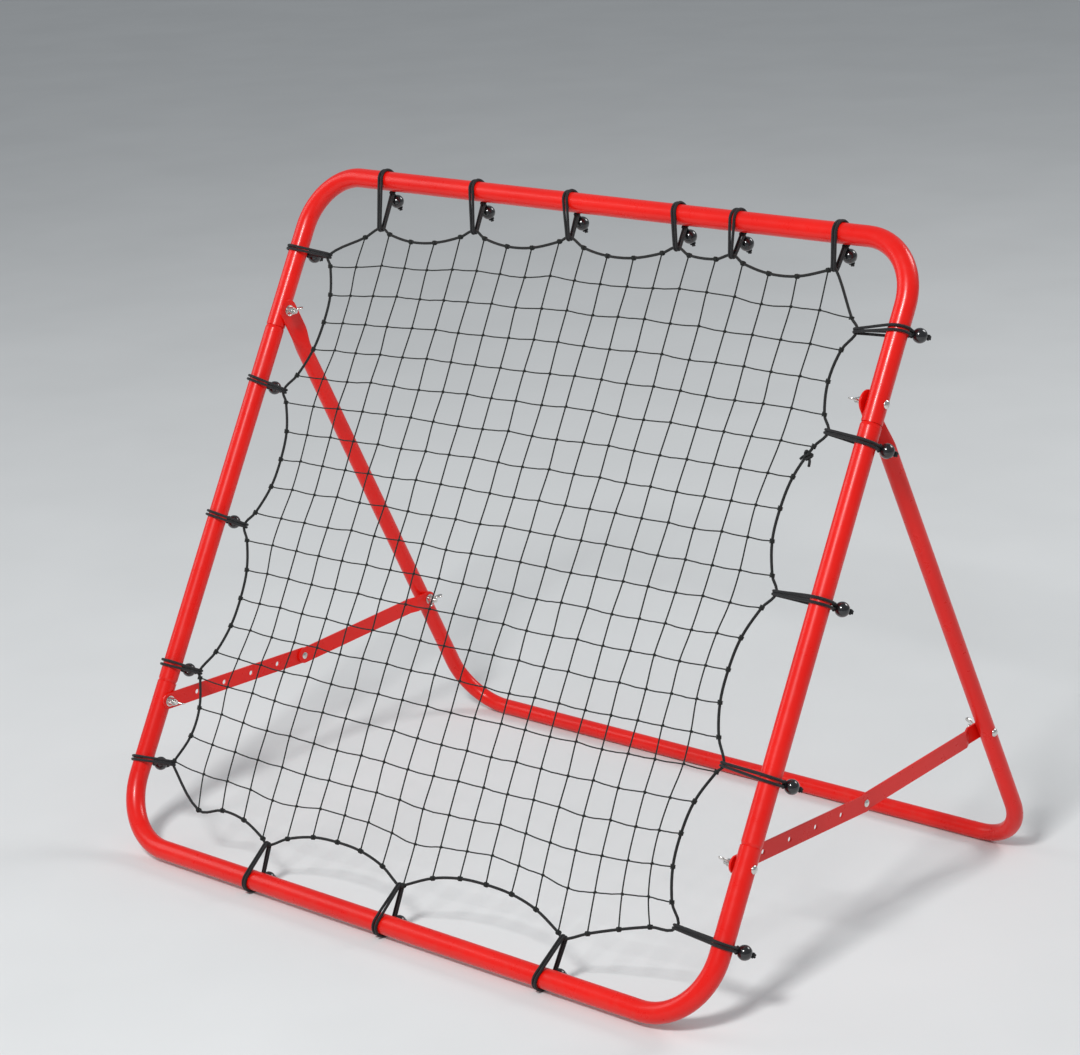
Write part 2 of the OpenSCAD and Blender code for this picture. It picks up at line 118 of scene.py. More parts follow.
class Build:
    """Collects swept cords and other shapes into one mesh with a UV map: U round, V along in metres."""

    def __init__(self):
        self.verts, self.faces, self.uvs = [], [], []

    def sweep(self, points, radius, sides=8, closed=False):
        """A round cord along points. radius is in metres, one number or one a point."""
        pts = np.array([tuple(p) for p in points], float)
        n = len(pts)
        radii = np.broadcast_to(np.asarray(radius, float), (n,))
        if closed:
            tan = np.roll(pts, -1, 0) - np.roll(pts, 1, 0)
        else:
            tan = np.gradient(pts, axis=0)
        tan /= np.linalg.norm(tan, axis=1)[:, None]
        start = np.cross(tan[0], (0.13, 0.31, 0.94))
        normal = start / np.linalg.norm(start)
        rows = []
        for t in tan:
            normal = normal - t * normal.dot(t)
            normal /= np.linalg.norm(normal)
            rows.append(normal)
        rows = np.array(rows)
        side = np.cross(tan, rows)
        twist = np.zeros(n)
        if closed:
            last = rows[-1] - tan[0] * rows[-1].dot(tan[0])
            twist = np.linspace(0, 1, n) * -math.atan2(last.dot(side[0]), last.dot(rows[0]))
        along = np.concatenate(([0], np.cumsum(np.linalg.norm(np.diff(pts, axis=0), axis=1))))
        base = len(self.verts)
        for i in range(n):
            for k in range(sides):
                a = 2 * math.pi * k / sides + twist[i]
                p = pts[i] + radii[i] * (rows[i] * math.cos(a) + side[i] * math.sin(a))
                self.verts.append(tuple(p))
        total = along[-1] + np.linalg.norm(pts[0] - pts[-1])
        for i in range(n if closed else n - 1):
            j = (i + 1) % n
            v0, v1 = along[i], total if j == 0 else along[j]
            for k in range(sides):
                m = (k + 1) % sides
                self.faces.append((base + i * sides + k, base + j * sides + k,
                                   base + j * sides + m, base + i * sides + m))
                u0, u1 = k / sides, (k + 1) / sides
                self.uvs += [(u0, v0), (u0, v1), (u1, v1), (u1, v0)]
        if not closed:
            for first, flip in ((base, True), (base + (n - 1) * sides, False)):
                ring = range(first, first + sides)
                self.faces.append(tuple(ring if flip else reversed(ring)))
                self.uvs += [(0.5, 0)] * sides

    def lathe(self, profile, origin, axis, sides=48):
        """Turns (radius, distance along axis) pairs, in metres, about an axis."""
        axis = Vector(axis).normalized()
        a = axis.orthogonal().normalized()
        b = axis.cross(a)
        base = len(self.verts)
        for r, z in profile:
            for k in range(sides):
                t = 2 * math.pi * k / sides
                p = Vector(origin) + axis * z + (a * math.cos(t) + b * math.sin(t)) * r
                self.verts.append(tuple(p))
        for i in range(len(profile) - 1):
            for k in range(sides):
                m = (k + 1) % sides
                self.faces.append((base + i * sides + k, base + i * sides + m,
                                   base + (i + 1) * sides + m, base + (i + 1) * sides + k))
                z0, z1 = profile[i][1], profile[i + 1][1]
                u0, u1 = k / sides, (k + 1) / sides
                self.uvs += [(u0, z0), (u1, z0), (u1, z1), (u0, z1)]

    def object(self, name, body, slot, material, replaced):
        """Makes the mesh an object that rides on body and stands for the replaced CAD nodes."""
        mesh = bpy.data.meshes.new(name)
        mesh.from_pydata(self.verts, [], self.faces)
        layer = mesh.uv_layers.new(name="cord")
        layer.data.foreach_set("uv", np.array(self.uvs, np.float32).ravel())
        mesh.polygons.foreach_set("use_smooth", [True] * len(mesh.polygons))
        mesh.materials.append(material)
        bm = bmesh.new()
        bm.from_mesh(mesh)
        bmesh.ops.recalc_face_normals(bm, faces=bm.faces)
        bm.to_mesh(mesh)
        bm.free()
        obj = bpy.data.objects.new(name, mesh)
        bpy.context.scene.collection.objects.link(obj)
        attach(obj, body)
        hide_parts(*replaced)
        return obj


def smooth_path(points, steps, closed=False):
    """A curve through all the points, with steps parts between neighbours."""
    p = [Vector(q) for q in points]
    n = len(p)
    out = []
    for i in range(n if closed else n - 1):
        if closed:
            a, b, c, d = p[i - 1], p[i], p[(i + 1) % n], p[(i + 2) % n]
        else:
            a, b, c, d = p[max(i - 1, 0)], p[i], p[i + 1], p[min(i + 2, n - 1)]
        # tangents shortened to the span, so that close points make no loops
        span = (c - b).length
        tb = (c - a).normalized() * span
        tc = (d - b).normalized() * span
        for s in range(steps):
            t = s / steps
            h = (2 * t**3 - 3 * t**2 + 1, t**3 - 2 * t**2 + t, -2 * t**3 + 3 * t**2, t**3 - t**2)
            out.append(b * h[0] + tb * h[1] + c * h[2] + tc * h[3])
    if not closed:
        out.append(p[-1])
    return out


def full_turn(steps):
    """The angles of one turn, in radians."""
    return [2 * math.pi * s / steps for s in range(steps)]


# ---- materials ----

class Paint:
    """A node material with a few short ways to add what varies over the surface."""

    def __init__(self, name, **values):
        self.mat = bpy.data.materials.new(name)
        self.mat.use_nodes = True
        self.tree = self.mat.node_tree
        self.shader = self.tree.nodes["Principled BSDF"]
        for key, value in values.items():
            self.shader.inputs[key.replace("_", " ")].default_value = value
        self.place = self.tree.nodes.new("ShaderNodeTexCoord")

    def link(self, a, b):
        self.tree.links.new(a, b)

    def node(self, kind, **values):
        n = self.tree.nodes.new(kind)
        for key, value in values.items():
            setattr(n, key, value)
        return n

    def noise(self, scale, detail=3.0, rough=0.55, coords="Object", stretch=(1, 1, 1)):
        mapping = self.node("ShaderNodeMapping")
        mapping.inputs["Scale"].default_value = stretch
        self.link(self.place.outputs[coords], mapping.inputs["Vector"])
        n = self.node("ShaderNodeTexNoise")
        n.inputs["Scale"].default_value = scale
        n.inputs["Detail"].default_value = detail
        n.inputs["Roughness"].default_value = rough
        self.link(mapping.outputs["Vector"], n.inputs["Vector"])
        return n.outputs["Fac"]

    def ramp(self, fac, stops):
        r = self.node("ShaderNodeValToRGB")
        while len(r.color_ramp.elements) < len(stops):
            r.color_ramp.elements.new(0.5)
        for e, (pos, colour) in zip(r.color_ramp.elements, stops):
            e.position = pos
            e.color = (*colour, 1) if hasattr(colour, "__len__") else (colour, colour, colour, 1)
        self.link(fac, r.inputs["Fac"])
        return r.outputs["Color"]

    def math(self, operation, a, b):
        m = self.node("ShaderNodeMath", operation=operation)
        for i, v in enumerate((a, b)):
            if isinstance(v, (int, float)):
                m.inputs[i].default_value = v
            else:
                self.link(v, m.inputs[i])
        return m.outputs["Value"]

    def mix(self, fac, a, b):
        m = self.node("ShaderNodeMix", data_type="RGBA")
        self.link(fac, m.inputs["Factor"])
        for socket, v in ((m.inputs["A"], a), (m.inputs["B"], b)):
            if hasattr(v, "__len__"):
                socket.default_value = (*v, 1)
            else:
                self.link(v, socket)
        return m.outputs["Result"]

    def height(self, *layers):
        """Bump from (height, distance in metres, strength) layers, one on the other."""
        normal = None
        for fac, distance, strength in layers:
            b = self.node("ShaderNodeBump")
            b.inputs["Distance"].default_value = distance
            b.inputs["Strength"].default_value = strength
            self.link(fac, b.inputs["Height"])
            if normal is not None:
                self.link(normal, b.inputs["Normal"])
            normal = b.outputs["Normal"]
        self.link(normal, self.shader.inputs["Normal"])

    def set(self, socket, value):
        self.link(value, self.shader.inputs[socket])


def red_paint():
    p = Paint("red_powder_coat", Coat_Weight=0.12, Coat_Roughness=0.12, Specular_IOR_Level=0.32)
    wide = p.noise(7, 2)
    peel = p.noise(520, 2, 0.4)
    dust = p.noise(55, 6, 0.68)
    speck = p.noise(900, 1, 0.3)
    base = p.ramp(wide, [(0.3, (0.70, 0.006, 0.003)), (0.7, (0.80, 0.009, 0.004))])
    low = p.node("ShaderNodeSeparateXYZ")
    p.link(p.place.outputs["Object"], low.inputs["Vector"])
    ground = p.ramp(low.outputs["Z"], [(0.0, 0.55), (0.045, 0.0)])
    patches = p.ramp(dust, [(0.5, 0.0), (0.85, 0.3)])
    film = p.math("MULTIPLY", patches, p.math("ADD", ground, 0.12))
    dusty = p.mix(film, base, (0.32, 0.16, 0.11))
    chips = p.ramp(speck, [(0.80, 0.0), (0.84, 0.6)])
    p.set("Base Color", p.mix(chips, dusty, (0.35, 0.01, 0.01)))
    rough = p.ramp(dust, [(0.3, 0.24), (0.75, 0.4)])
    p.set("Roughness", p.math("ADD", rough, p.math("MULTIPLY", film, 0.3)))
    p.height((peel, 0.00025, 0.12), (wide, 0.0008, 0.1))
    return p.mat


def zinc():
    p = Paint("bright_zinc", Metallic=1.0)
    cloud = p.noise(160, 4, 0.6)
    spangle = p.noise(700, 2, 0.5)
    scratch = p.noise(300, 3, 0.7, stretch=(6, 1, 1))
    tones = [(0.3, (0.56, 0.55, 0.52)), (0.55, (0.76, 0.75, 0.72)), (0.8, (0.86, 0.84, 0.78))]
    p.set("Base Color", p.ramp(cloud, tones))
    p.set("Roughness", p.ramp(scratch, [(0.3, 0.16), (0.7, 0.36)]))
    p.height((spangle, 0.0001, 0.25), (scratch, 0.0001, 0.2))
    return p.mat


def cord_material(name, lay, turns, dark, light, rough, both_ways):
    """Cord whose strands run round it: turns round the cord, and lay of one strand in metres."""
    p = Paint(name, Sheen_Weight=0.08, Sheen_Roughness=0.5, Specular_IOR_Level=0.3)
    parts = p.node("ShaderNodeSeparateXYZ")
    p.link(p.place.outputs["UV"], parts.inputs["Vector"])
    around = p.math("MULTIPLY", parts.outputs["X"], 2 * math.pi * turns)
    along = p.math("MULTIPLY", parts.outputs["Y"], 2 * math.pi / lay)
    one = p.math("ABSOLUTE", p.math("SINE", p.math("ADD", along, around), 0), 0)
    if both_ways:
        other = p.math("ABSOLUTE", p.math("SINE", p.math("SUBTRACT", along, around), 0), 0)
        one = p.math("MULTIPLY", one, other)
    fuzz = p.noise(2600, 3, 0.7)
    wide = p.noise(24, 3)
    # The strand pattern also sets the colour, darker in the grooves between strands and lighter on their crowns:
    # this is painted shade of the braid's relief, from dark in the grooves to light on the crowns. The broad noise
    # adds a random tone.
    groove_shade_and_tone = p.math("ADD", p.math("MULTIPLY", one, 0.6), p.math("MULTIPLY", wide, 0.4))
    p.set("Base Color", p.ramp(groove_shade_and_tone, [(0.1, dark), (0.9, light)]))
    p.set("Roughness", p.ramp(fuzz, [(0.2, rough - 0.12), (0.8, rough + 0.1)]))
    p.height((one, 0.0004, 0.8), (fuzz, 0.0002, 0.5))
    return p.mat


def black_plastic():
    p = Paint("glossy_black_plastic", Coat_Weight=0.5, Coat_Roughness=0.08, Specular_IOR_Level=0.6)
    cloud = p.noise(120, 4, 0.65)
    scuff = p.noise(420, 5, 0.75, stretch=(1, 5, 1))
    p.set("Base Color", p.ramp(cloud, [(0.3, (0.004, 0.004, 0.005)), (0.8, (0.010, 0.010, 0.012))]))
    p.set("Roughness", p.ramp(scuff, [(0.4, 0.12), (0.75, 0.34)]))
    p.height((cloud, 0.0002, 0.15), (scuff, 0.0001, 0.15))
    return p.mat


RED = red_paint()
ZINC = zinc()
ELASTIC = cord_material("black_elastic_cord", lay=0.0042, turns=4, dark=(0.003, 0.003, 0.0035),
                        light=(0.016, 0.016, 0.018), rough=0.55, both_ways=True)
TWINE = cord_material("black_net_twine", lay=0.0030, turns=2, dark=(0.003, 0.004, 0.0035),
                      light=(0.013, 0.016, 0.014), rough=0.65, both_ways=False)
BORDER = cord_material("black_border_cord", lay=0.0040, turns=3, dark=(0.003, 0.0035, 0.0035),
                       light=(0.014, 0.016, 0.016), rough=0.6, both_ways=True)
BALL = black_plastic()

by_slot = {"red_paint": RED, "zinc": ZINC, "net": TWINE, "elastic_cord": ELASTIC, "ball": BALL}
for part in frame["record"]["subparts"]:
    mesh = nodes[part["node"]].data
    mesh.materials.clear()
    mesh.materials.append(by_slot[part["material_slot"]])


# ---- net ----

# Each tie has its place along its tube, and its apex, where it holds the border cord. Both are in
# millimetres across and up the front frame, and they repeat the design's own.
TOP_TIES = [(-364, (-350, 848)), (-201, (-188, 860)), (-42, (-29, 867)), (132, (142, 871)),
            (222, (227, 870)), (374, (378, 870))]
LEFT_TIES = [(804, (-430, 802)), (621, (-437, 615)), (435, (-434, 431)), (231, (-436, 232)),
             (103, (-434, 109))]
RIGHT_TIES = [(807, (433, 800)), (489, (425, 489)), (285, (421, 288)), (96, (420, 100))]
HINGE_TIES = [(675, (433, 680))]
BOTTOM_TIES = [(-233, (-227, 46)), (-2, (6, 48)), (257, (269, 49))]
CELLS = 20
TWINE_R = 0.00090
BORDER_R = 0.00175
SAG = 9
STEPS = 5
# How far the border cord bows in between two ties, as a share of their distance
BOW = {"top": 0.115, "right": 0.165, "bottom": 0.125, "left": 0.17}
CORNER_BOW = 0.03
# 2 makes a bow a parabola, and more flattens its middle
BOW_FLATNESS = 2.4
# The cord turns the lower left corner here, with no tie near
LOWER_LEFT_TURN = (-372, 57)
# Where the first and the last strand of each side end, along that side
FIRST_LAST = {"top": (-373, 370), "right": (814, 125), "bottom": (-362, 384), "left": (788, 112)}


def apexes(ties, axis):
    """The apexes of one side's ties, in order along that side."""
    return sorted((apex for _, apex in ties), key=lambda apex: apex[axis])


def strand_ends(side, row, before, after, axis, inward):
    """Evenly spaced strand ends on one side's bows, which start and end at the next sides' apexes."""
    stops = [before] + row + [after]
    first, last = FIRST_LAST[side]
    ends = []
    for q in range(CELLS - 1):
        at = first + (last - first) * q / (CELLS - 2)
        k = max((k for k in range(len(stops) - 1) if stops[k][axis] <= at), default=0)
        a, b = stops[k], stops[k + 1]
        s = (at - a[axis]) / (b[axis] - a[axis])
        share = CORNER_BOW if a == before or b == after else BOW[side]
        bow = share * (b[axis] - a[axis]) * (1 - abs(2 * s - 1) ** BOW_FLATNESS)
        other = a[1 - axis] + (b[1 - axis] - a[1 - axis]) * s + inward * bow
        ends.append((at, other) if axis == 0 else (other, at))
    return ends


top_row, bottom_row = apexes(TOP_TIES, 0), [LOWER_LEFT_TURN] + apexes(BOTTOM_TIES, 0)
left_row, right_row = apexes(LEFT_TIES, 1), apexes(RIGHT_TIES + HINGE_TIES, 1)
TOP = strand_ends("top", top_row, left_row[-1], right_row[-1], 0, -1)
BOTTOM = strand_ends("bottom", bottom_row, left_row[0], right_row[0], 0, 1)
LEFT = strand_ends("left", left_row, bottom_row[0], top_row[0], 1, 1)
RIGHT = strand_ends("right", right_row, bottom_row[-1], top_row[-1], 1, -1)


def net_grid():
    """Places of all crossings: the strands' ends are given, and those inside settle between them."""
    grid = np.zeros((CELLS + 1, CELLS + 1, 2))
    grid[1:-1, 0], grid[1:-1, -1] = TOP, BOTTOM
    grid[0, 1:-1], grid[-1, 1:-1] = LEFT, RIGHT
    for i in range(1, CELLS):
        for j in range(1, CELLS):
            s, t = i / CELLS, j / CELLS
            across = (grid[0, j] * (1 - s) + grid[-1, j] * s)[0]
            down = (grid[i, 0] * (1 - t) + grid[i, -1] * t)[1]
            grid[i, j] = (across, down)
    for _ in range(60):
        inner = (grid[:-2, 1:-1] + grid[2:, 1:-1] + grid[1:-1, :-2] + grid[1:-1, 2:]) / 4
        grid[1:-1, 1:-1] = inner
    return grid


def net_depth(i, j):
    """How far the net sags behind its plane at a crossing, in millimetres."""
    return SAG * math.sin(math.pi * i / CELLS) * math.sin(math.pi * (j / CELLS) ** 0.9)


def make_net():
    rng = random.Random(4)
    grid = net_grid()
    place = [[None] * (CELLS + 1) for _ in range(CELLS + 1)]
    for i in range(CELLS + 1):
        for j in range(CELLS + 1):
            u, v = grid[i, j]
            inside = 0 < i < CELLS and 0 < j < CELLS
            if inside:
                u, v = u + rng.uniform(-1.3, 1.3), v + rng.uniform(-1.3, 1.3)
            place[i][j] = (u, v, net_depth(i, j) if inside else 0.0)
    net = Build()
    for k in range(1, CELLS):
        for line, side in (([place[k][j] for j in range(CELLS + 1)], -0.5),
                           ([place[i][k] for i in range(CELLS + 1)], 0.5)):
            path = smooth_path([on(u, v, n + side) for u, v, n in line], STEPS)
            bowed = []
            for s, p in enumerate(path):
                cell = math.sin(math.pi * (s % STEPS) / STEPS)
                bowed.append(p - UP * (0.0007 * cell * rng.uniform(0.6, 1.4)))
            net.sweep(bowed, TWINE_R, 6)
    for i in range(1, CELLS):
        for j in range(1, CELLS):
            add_knot(net, on(*place[i][j]), rng)
    for line in (TOP, BOTTOM, LEFT, RIGHT):
        for q, (u, v) in enumerate(line):
            before, after = line[max(q - 1, 0)], line[min(q + 1, len(line) - 1)]
            run = (on(*after) - on(*before)).normalized()
            add_wrap(net, on(u, v), run, BORDER_R + TWINE_R * 0.8, 3)
    net.object("net_mesh", "front_frame", "net", TWINE, ["netting"])


def add_knot(build, centre, rng):
    """A small netting knot: one closed turn that crosses itself over the strands' meeting."""
    turn = rng.uniform(-0.5, 0.5)
    a = X * math.cos(turn) + UP * math.sin(turn)
    b = UP * math.cos(turn) - X * math.sin(turn)
    points = []
    for t in full_turn(12):
        place = a * math.sin(t) * 1.7 + b * math.sin(2 * t) * 1.1 - BACK * math.cos(t) * 0.9
        points.append(centre + place * MM)
    build.sweep(points, TWINE_R * 0.95, 5, closed=True)


def add_wrap(build, centre, run, radius, turns):
    """Turns of thin cord round a thicker one that runs along run."""
    a = run.orthogonal().normalized()
    b = run.cross(a)
    a_turn, pitch = 8, 1.5 * MM
    steps = a_turn * turns
    points = []
    for s in range(steps + 1):
        t = 2 * math.pi * s / a_turn
        forward = run * ((s / steps - 0.5) * turns * pitch)
        points.append(centre + forward + (a * math.cos(t) + b * math.sin(t)) * radius)
    build.sweep(points, TWINE_R * 0.9, 5)


def border_points():
    """All that the border cord passes, in order: strand ends and the ties' apexes."""
    sides = (
        (TOP, TOP_TIES, lambda q: q[0]),
        (RIGHT, RIGHT_TIES + HINGE_TIES, lambda q: -q[1]),
        (BOTTOM, BOTTOM_TIES, lambda q: -q[0]),
        (LEFT, LEFT_TIES, lambda q: q[1]),
    )
    out = []
    for ends, ties, key in sides:
        out += sorted(ends + [apex for _, apex in ties], key=key)
    return out


def make_border():
    cord = Build()
    path = smooth_path([on(u, v) for u, v in border_points()], STEPS, closed=True)
    cord.sweep(path, BORDER_R, 10, closed=True)
    # the joining knot of the cord's two ends, below the tie by the right hinge
    hinge_apex = HINGE_TIES[0][1]
    above, below = [on(*end) for end in RIGHT if end[1] < hinge_apex[1]][:2]
    run = (below - above).normalized()
    middle = above.lerp(below, 0.3)
    across = run.cross(BACK).normalized()
    loops = [middle + (run * math.sin(2 * t) * 4 + across * math.sin(t) * 4.2
                       + BACK * math.cos(3 * t) * 2.2) * MM for t in full_turn(28)]
    cord.sweep(loops, BORDER_R, 8, closed=True)
    for turn in (-1, 1):
        tail = [middle, middle + (across * 5 * turn - UP * 3) * MM,
                middle + (across * 8 * turn - UP * 9 - BACK * 2) * MM]
        cord.sweep(smooth_path(tail, 5), BORDER_R * 0.95, 8)
    cord.object("border_cord_lashed", "front_frame", "elastic_cord", BORDER, ["border_cord"])


make_net()
make_border()


# ---- elastic ties and their ball toggles ----

TIE_R = 1.75
LOOP_R = TUBE_R + TIE_R + 0.25
APEX_R = BORDER_R / MM + TIE_R + 0.15
BALL_R = 8.9
NECK_R = 1.5
# Parts that a loop is drawn with round the tube, along each straight run, and round the apex
ROUND_TUBE, RUN, ROUND_APEX = 24, 8, 8


def tie_frame(side, tie):
    """Tube centre, direction to the net, direction along the tube, reach, shift along the tube."""
    place, (u, v) = tie
    if side == "top":
        return on(place, FRAME_H), -UP, X, FRAME_H - v, u - place
    if side == "bottom":
        return on(place, 0), UP, X, v, u - place
    if side == "left":
        return on(-HALF_W, place), X, UP, u + HALF_W, v - place
    return on(HALF_W, place), -X, UP, HALF_W - u, v - place


def tie_axes(side, tie, ball):
    """Tube centre, direction to the apex, its distance, the tilted direction along the tube, the way
    to the ball, and the ball's distance."""
    centre, inward, along, reach, shift = tie_frame(side, tie)
    run = (inward * reach + along * shift).normalized()
    across = (along * reach - inward * shift).normalized()
    out = (run * ball[0] + BACK * ball[1]).normalized()
    return centre, run, math.hypot(reach, shift), across, out, math.hypot(*ball)


def tie_loop(reach, to_ball, at_tube, at_apex):
    """One cord of a tie, round the tube and the border cord, in the tie's own millimetres."""
    lean = math.acos((LOOP_R - APEX_R) / reach)
    points = []
    for s in range(ROUND_TUBE + 1):
        a = lean + (2 * math.pi - 2 * lean) * s / ROUND_TUBE
        pull = math.exp(-((min(abs(a - to_ball), 3) / 0.35) ** 2))
        r = LOOP_R + 0.9 * pull
        points.append((r * math.cos(a), r * math.sin(a), at_tube * (1 - 0.25 * pull)))
    first, low = points[0], points[-1]
    end = (reach + APEX_R * math.cos(lean), -APEX_R * math.sin(lean))
    for s in range(1, RUN):
        t = s / RUN
        ease = t * t * (3 - 2 * t)
        points.append((low[0] + (end[0] - low[0]) * t, low[1] + (end[1] - low[1]) * t,
                       low[2] + (at_apex - low[2]) * ease))
    for s in range(ROUND_APEX + 1):
        a = -lean + 2 * lean * s / ROUND_APEX
        points.append((reach + APEX_R * math.cos(a), APEX_R * math.sin(a), at_apex))
    for s in range(1, RUN):
        t = s / RUN
        ease = t * t * (3 - 2 * t)
        points.append((end[0] + (first[0] - end[0]) * t, -end[1] + (first[1] + end[1]) * t,
                       at_apex + (first[2] - at_apex) * ease))
    return points


def add_tie(build, side, tie, ball, rng, rear=None):
    """One tie. If rear is given, the run from the apex to behind the tube goes into it."""
    centre, run, reach, across, out, ball_at = tie_axes(side, tie, ball)
    spread = rng.uniform(1.9, 3.0)
    skew = rng.uniform(-0.8, 0.8)
    to_ball = math.atan2(ball[1], ball[0])
    for k in (-1, 1):
        points = tie_loop(reach, to_ball, k * spread + skew, k * 1.8)
        world = [centre + run * (x * MM) + BACK * (y * MM) + across * (z * MM) for x, y, z in points]
        if rear:
            start, stop = 3, ROUND_TUBE + RUN + ROUND_APEX + 1
            build.sweep(world[start - 1:stop], TIE_R * MM, 10)
            rear.sweep(world[stop - 1:] + world[:start], TIE_R * MM, 10)
        else:
            build.sweep(world, TIE_R * MM, 10, closed=True)
    a, b = across, out.cross(across)
    # one turn that ties the two cords together between the tube and the ball
    turns = [centre + (out * (LOOP_R + 1.9 + 0.5 * math.sin(t)) + a * math.cos(t) * 4.1
                       + b * math.sin(t) * 2.6) * MM for t in full_turn(22)]
    build.sweep(turns, 1.3 * MM, 8, closed=True)
    # the two ends through the ball, knotted close behind it
    for k in (-1, 1):
        stem = [centre + out * (r * MM) + a * (k * 1.2 * MM)
                for r in np.linspace(LOOP_R, ball_at + BALL_R, 6)]
        build.sweep(stem, NECK_R * MM, 8)
    knot = centre + out * ((ball_at + BALL_R + 1.0) * MM)
    turns = [knot + (a * math.sin(t) * 2.1 + b * math.sin(2 * t) * 1.7 + out * math.cos(t)) * MM
             for t in full_turn(20)]
    build.sweep(turns, NECK_R * MM, 8, closed=True)
    for k in (-1, 1):
        drift = rng.uniform(0.9, 1.7)
        end = [knot, knot + (out * 1.6 + a * k) * MM, knot + (out * 3.2 + a * k * drift) * MM]
        build.sweep(smooth_path(end, 3), 1.25 * MM, 8)


def add_ball(build, side, tie, ball):
    """A moulded ball: rounded bore mouths at its poles, and a fine seam at the equator."""
    centre, _, _, _, out, ball_at = tie_axes(side, tie, ball)
    bore_r, bore_at, mouth = 2.3, 6.8, math.radians(18)
    rings = 32
    profile = [(bore_r * MM, -bore_at * MM)]
    for s in range(rings + 1):
        a = -math.pi / 2 + mouth + (math.pi - 2 * mouth) * s / rings
        r, z = BALL_R * math.cos(a), BALL_R * math.sin(a)
        seam = 0.12 * math.exp(-((z / 0.3) ** 2))
        profile.append(((r + seam) * MM, z * MM))
    profile.append((bore_r * MM, bore_at * MM))
    build.lathe(profile, centre + out * (ball_at * MM), out)


def make_ties():
    rng = random.Random(11)
    # where each side's balls are: towards the net and behind the tube, in millimetres
    top, left_or_bottom, right = (20, 23.3), (6.6, 24.9), (-16.6, 19.8)
    sets = (
        ("top", TOP_TIES, top, "top_ties", "top_balls"),
        ("left", LEFT_TIES, left_or_bottom, "left_ties", "left_balls"),
        ("right", RIGHT_TIES, right, "right_ties", "right_balls"),
        ("right", HINGE_TIES, right, "hinge_tie", "hinge_ball"),
        ("bottom", BOTTOM_TIES, left_or_bottom, "bottom_ties", "bottom_balls"),
    )
    for side, ties, ball, cords_node, balls_node in sets:
        cords, balls = Build(), Build()
        rear = Build() if cords_node == "hinge_tie" else None
        for tie in ties:
            add_tie(cords, side, tie, ball, rng, rear)
            add_ball(balls, side, tie, ball)
        if rear:
            # the leg presses this run forward against the tube as the rear frame folds
            run = rear.object("hinge_tie_rear_run", "front_frame", "elastic_cord", ELASTIC, [cords_node])
            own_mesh(run)
        cords.object(cords_node + "_woven", "front_frame", "elastic_cord", ELASTIC, [cords_node])
        balls.object(balls_node + "_moulded", "front_frame", "ball", BALL, [balls_node])


make_ties()


# ---- bolts and wing nuts ----

BOLT_R = 3.0
HEAD_H = 3.0
# How far a bolt's tip stands past the face that its nut sits on
PAST_SEAT = 12.2
THREAD_PITCH, THREADS, THREAD_DEPTH = 1, 16, 0.42


def bolt_profile(length):
    """A domed head and a threaded shank, as (radius, distance outward from the head's seat)."""
    profile = [(0.0, HEAD_H), (1.4, 2.94), (2.8, 2.6), (4.1, 1.9), (4.9, 1.1), (5.2, 0.6), (5.25, 0.25),
               (5.1, 0.0), (3.4, 0.0), (BOLT_R, -0.4)]
    plain = length - THREADS * THREAD_PITCH
    root = BOLT_R - THREAD_DEPTH
    profile.append((BOLT_R, -plain))
    for s in range(THREADS):
        top = -plain - s * THREAD_PITCH
        profile += [(BOLT_R, top - 0.1), (root, top - 0.45), (root, top - 0.55), (BOLT_R, top - 0.9)]
    return profile + [(BOLT_R - 0.5, -length), (0.0, -length)]


def make_bolts():
    for node, body, nut in (("hinge_bolts", "front_frame", "hinge"),
                            ("front_stay_bolts", "front_frame", "front"),
                            ("rear_stay_bolts", "rear_frame", "rear")):
        under_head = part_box(node)[1].x - HEAD_H * MM
        nut_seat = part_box(f"right_{nut}_wing_nut")[1].x
        _, y, z = joints[f"right_{nut}_nut_spin"]["pos_m"]
        profile = bolt_profile((under_head - nut_seat) / MM + PAST_SEAT)
        build = Build()
        for side in (1, -1):
            build.lathe([(r * MM, d * MM) for r, d in profile], (side * under_head, y, z), (side, 0, 0), 40)
        build.object(node + "_threaded", body, "zinc", ZINC, [node])


# One wing in millimetres: distance out from the nut's axis, and distance away from the seat
WING = [(3.6, 1.2), (5.2, 1.6), (7.4, 3.4), (9.6, 5.6), (11.6, 7.2), (13.2, 9.4), (13.6, 11.8),
        (12.6, 13.8), (10.8, 14.6), (9.0, 13.8), (7.6, 11.6), (6.6, 9.4), (5.2, 8.0), (3.4, 7.6)]
# The hub's radius, and distance away from the seat
HUB = [(3.1, 7.6), (3.5, 8.0), (4.3, 7.9), (4.6, 7.2), (5.0, 3.0), (5.6, 1.0), (5.7, 0.4), (5.4, 0.0),
       (3.2, 0.0), (3.05, 0.5), (3.1, 7.6)]
# Rings across a wing's thickness: distance from its middle, and how far the rim is drawn in
WING_RINGS = ((-1.15, 0.24), (-0.9, 0.08), (-0.4, 0.0), (0.4, 0.0), (0.9, 0.08), (1.15, 0.24))


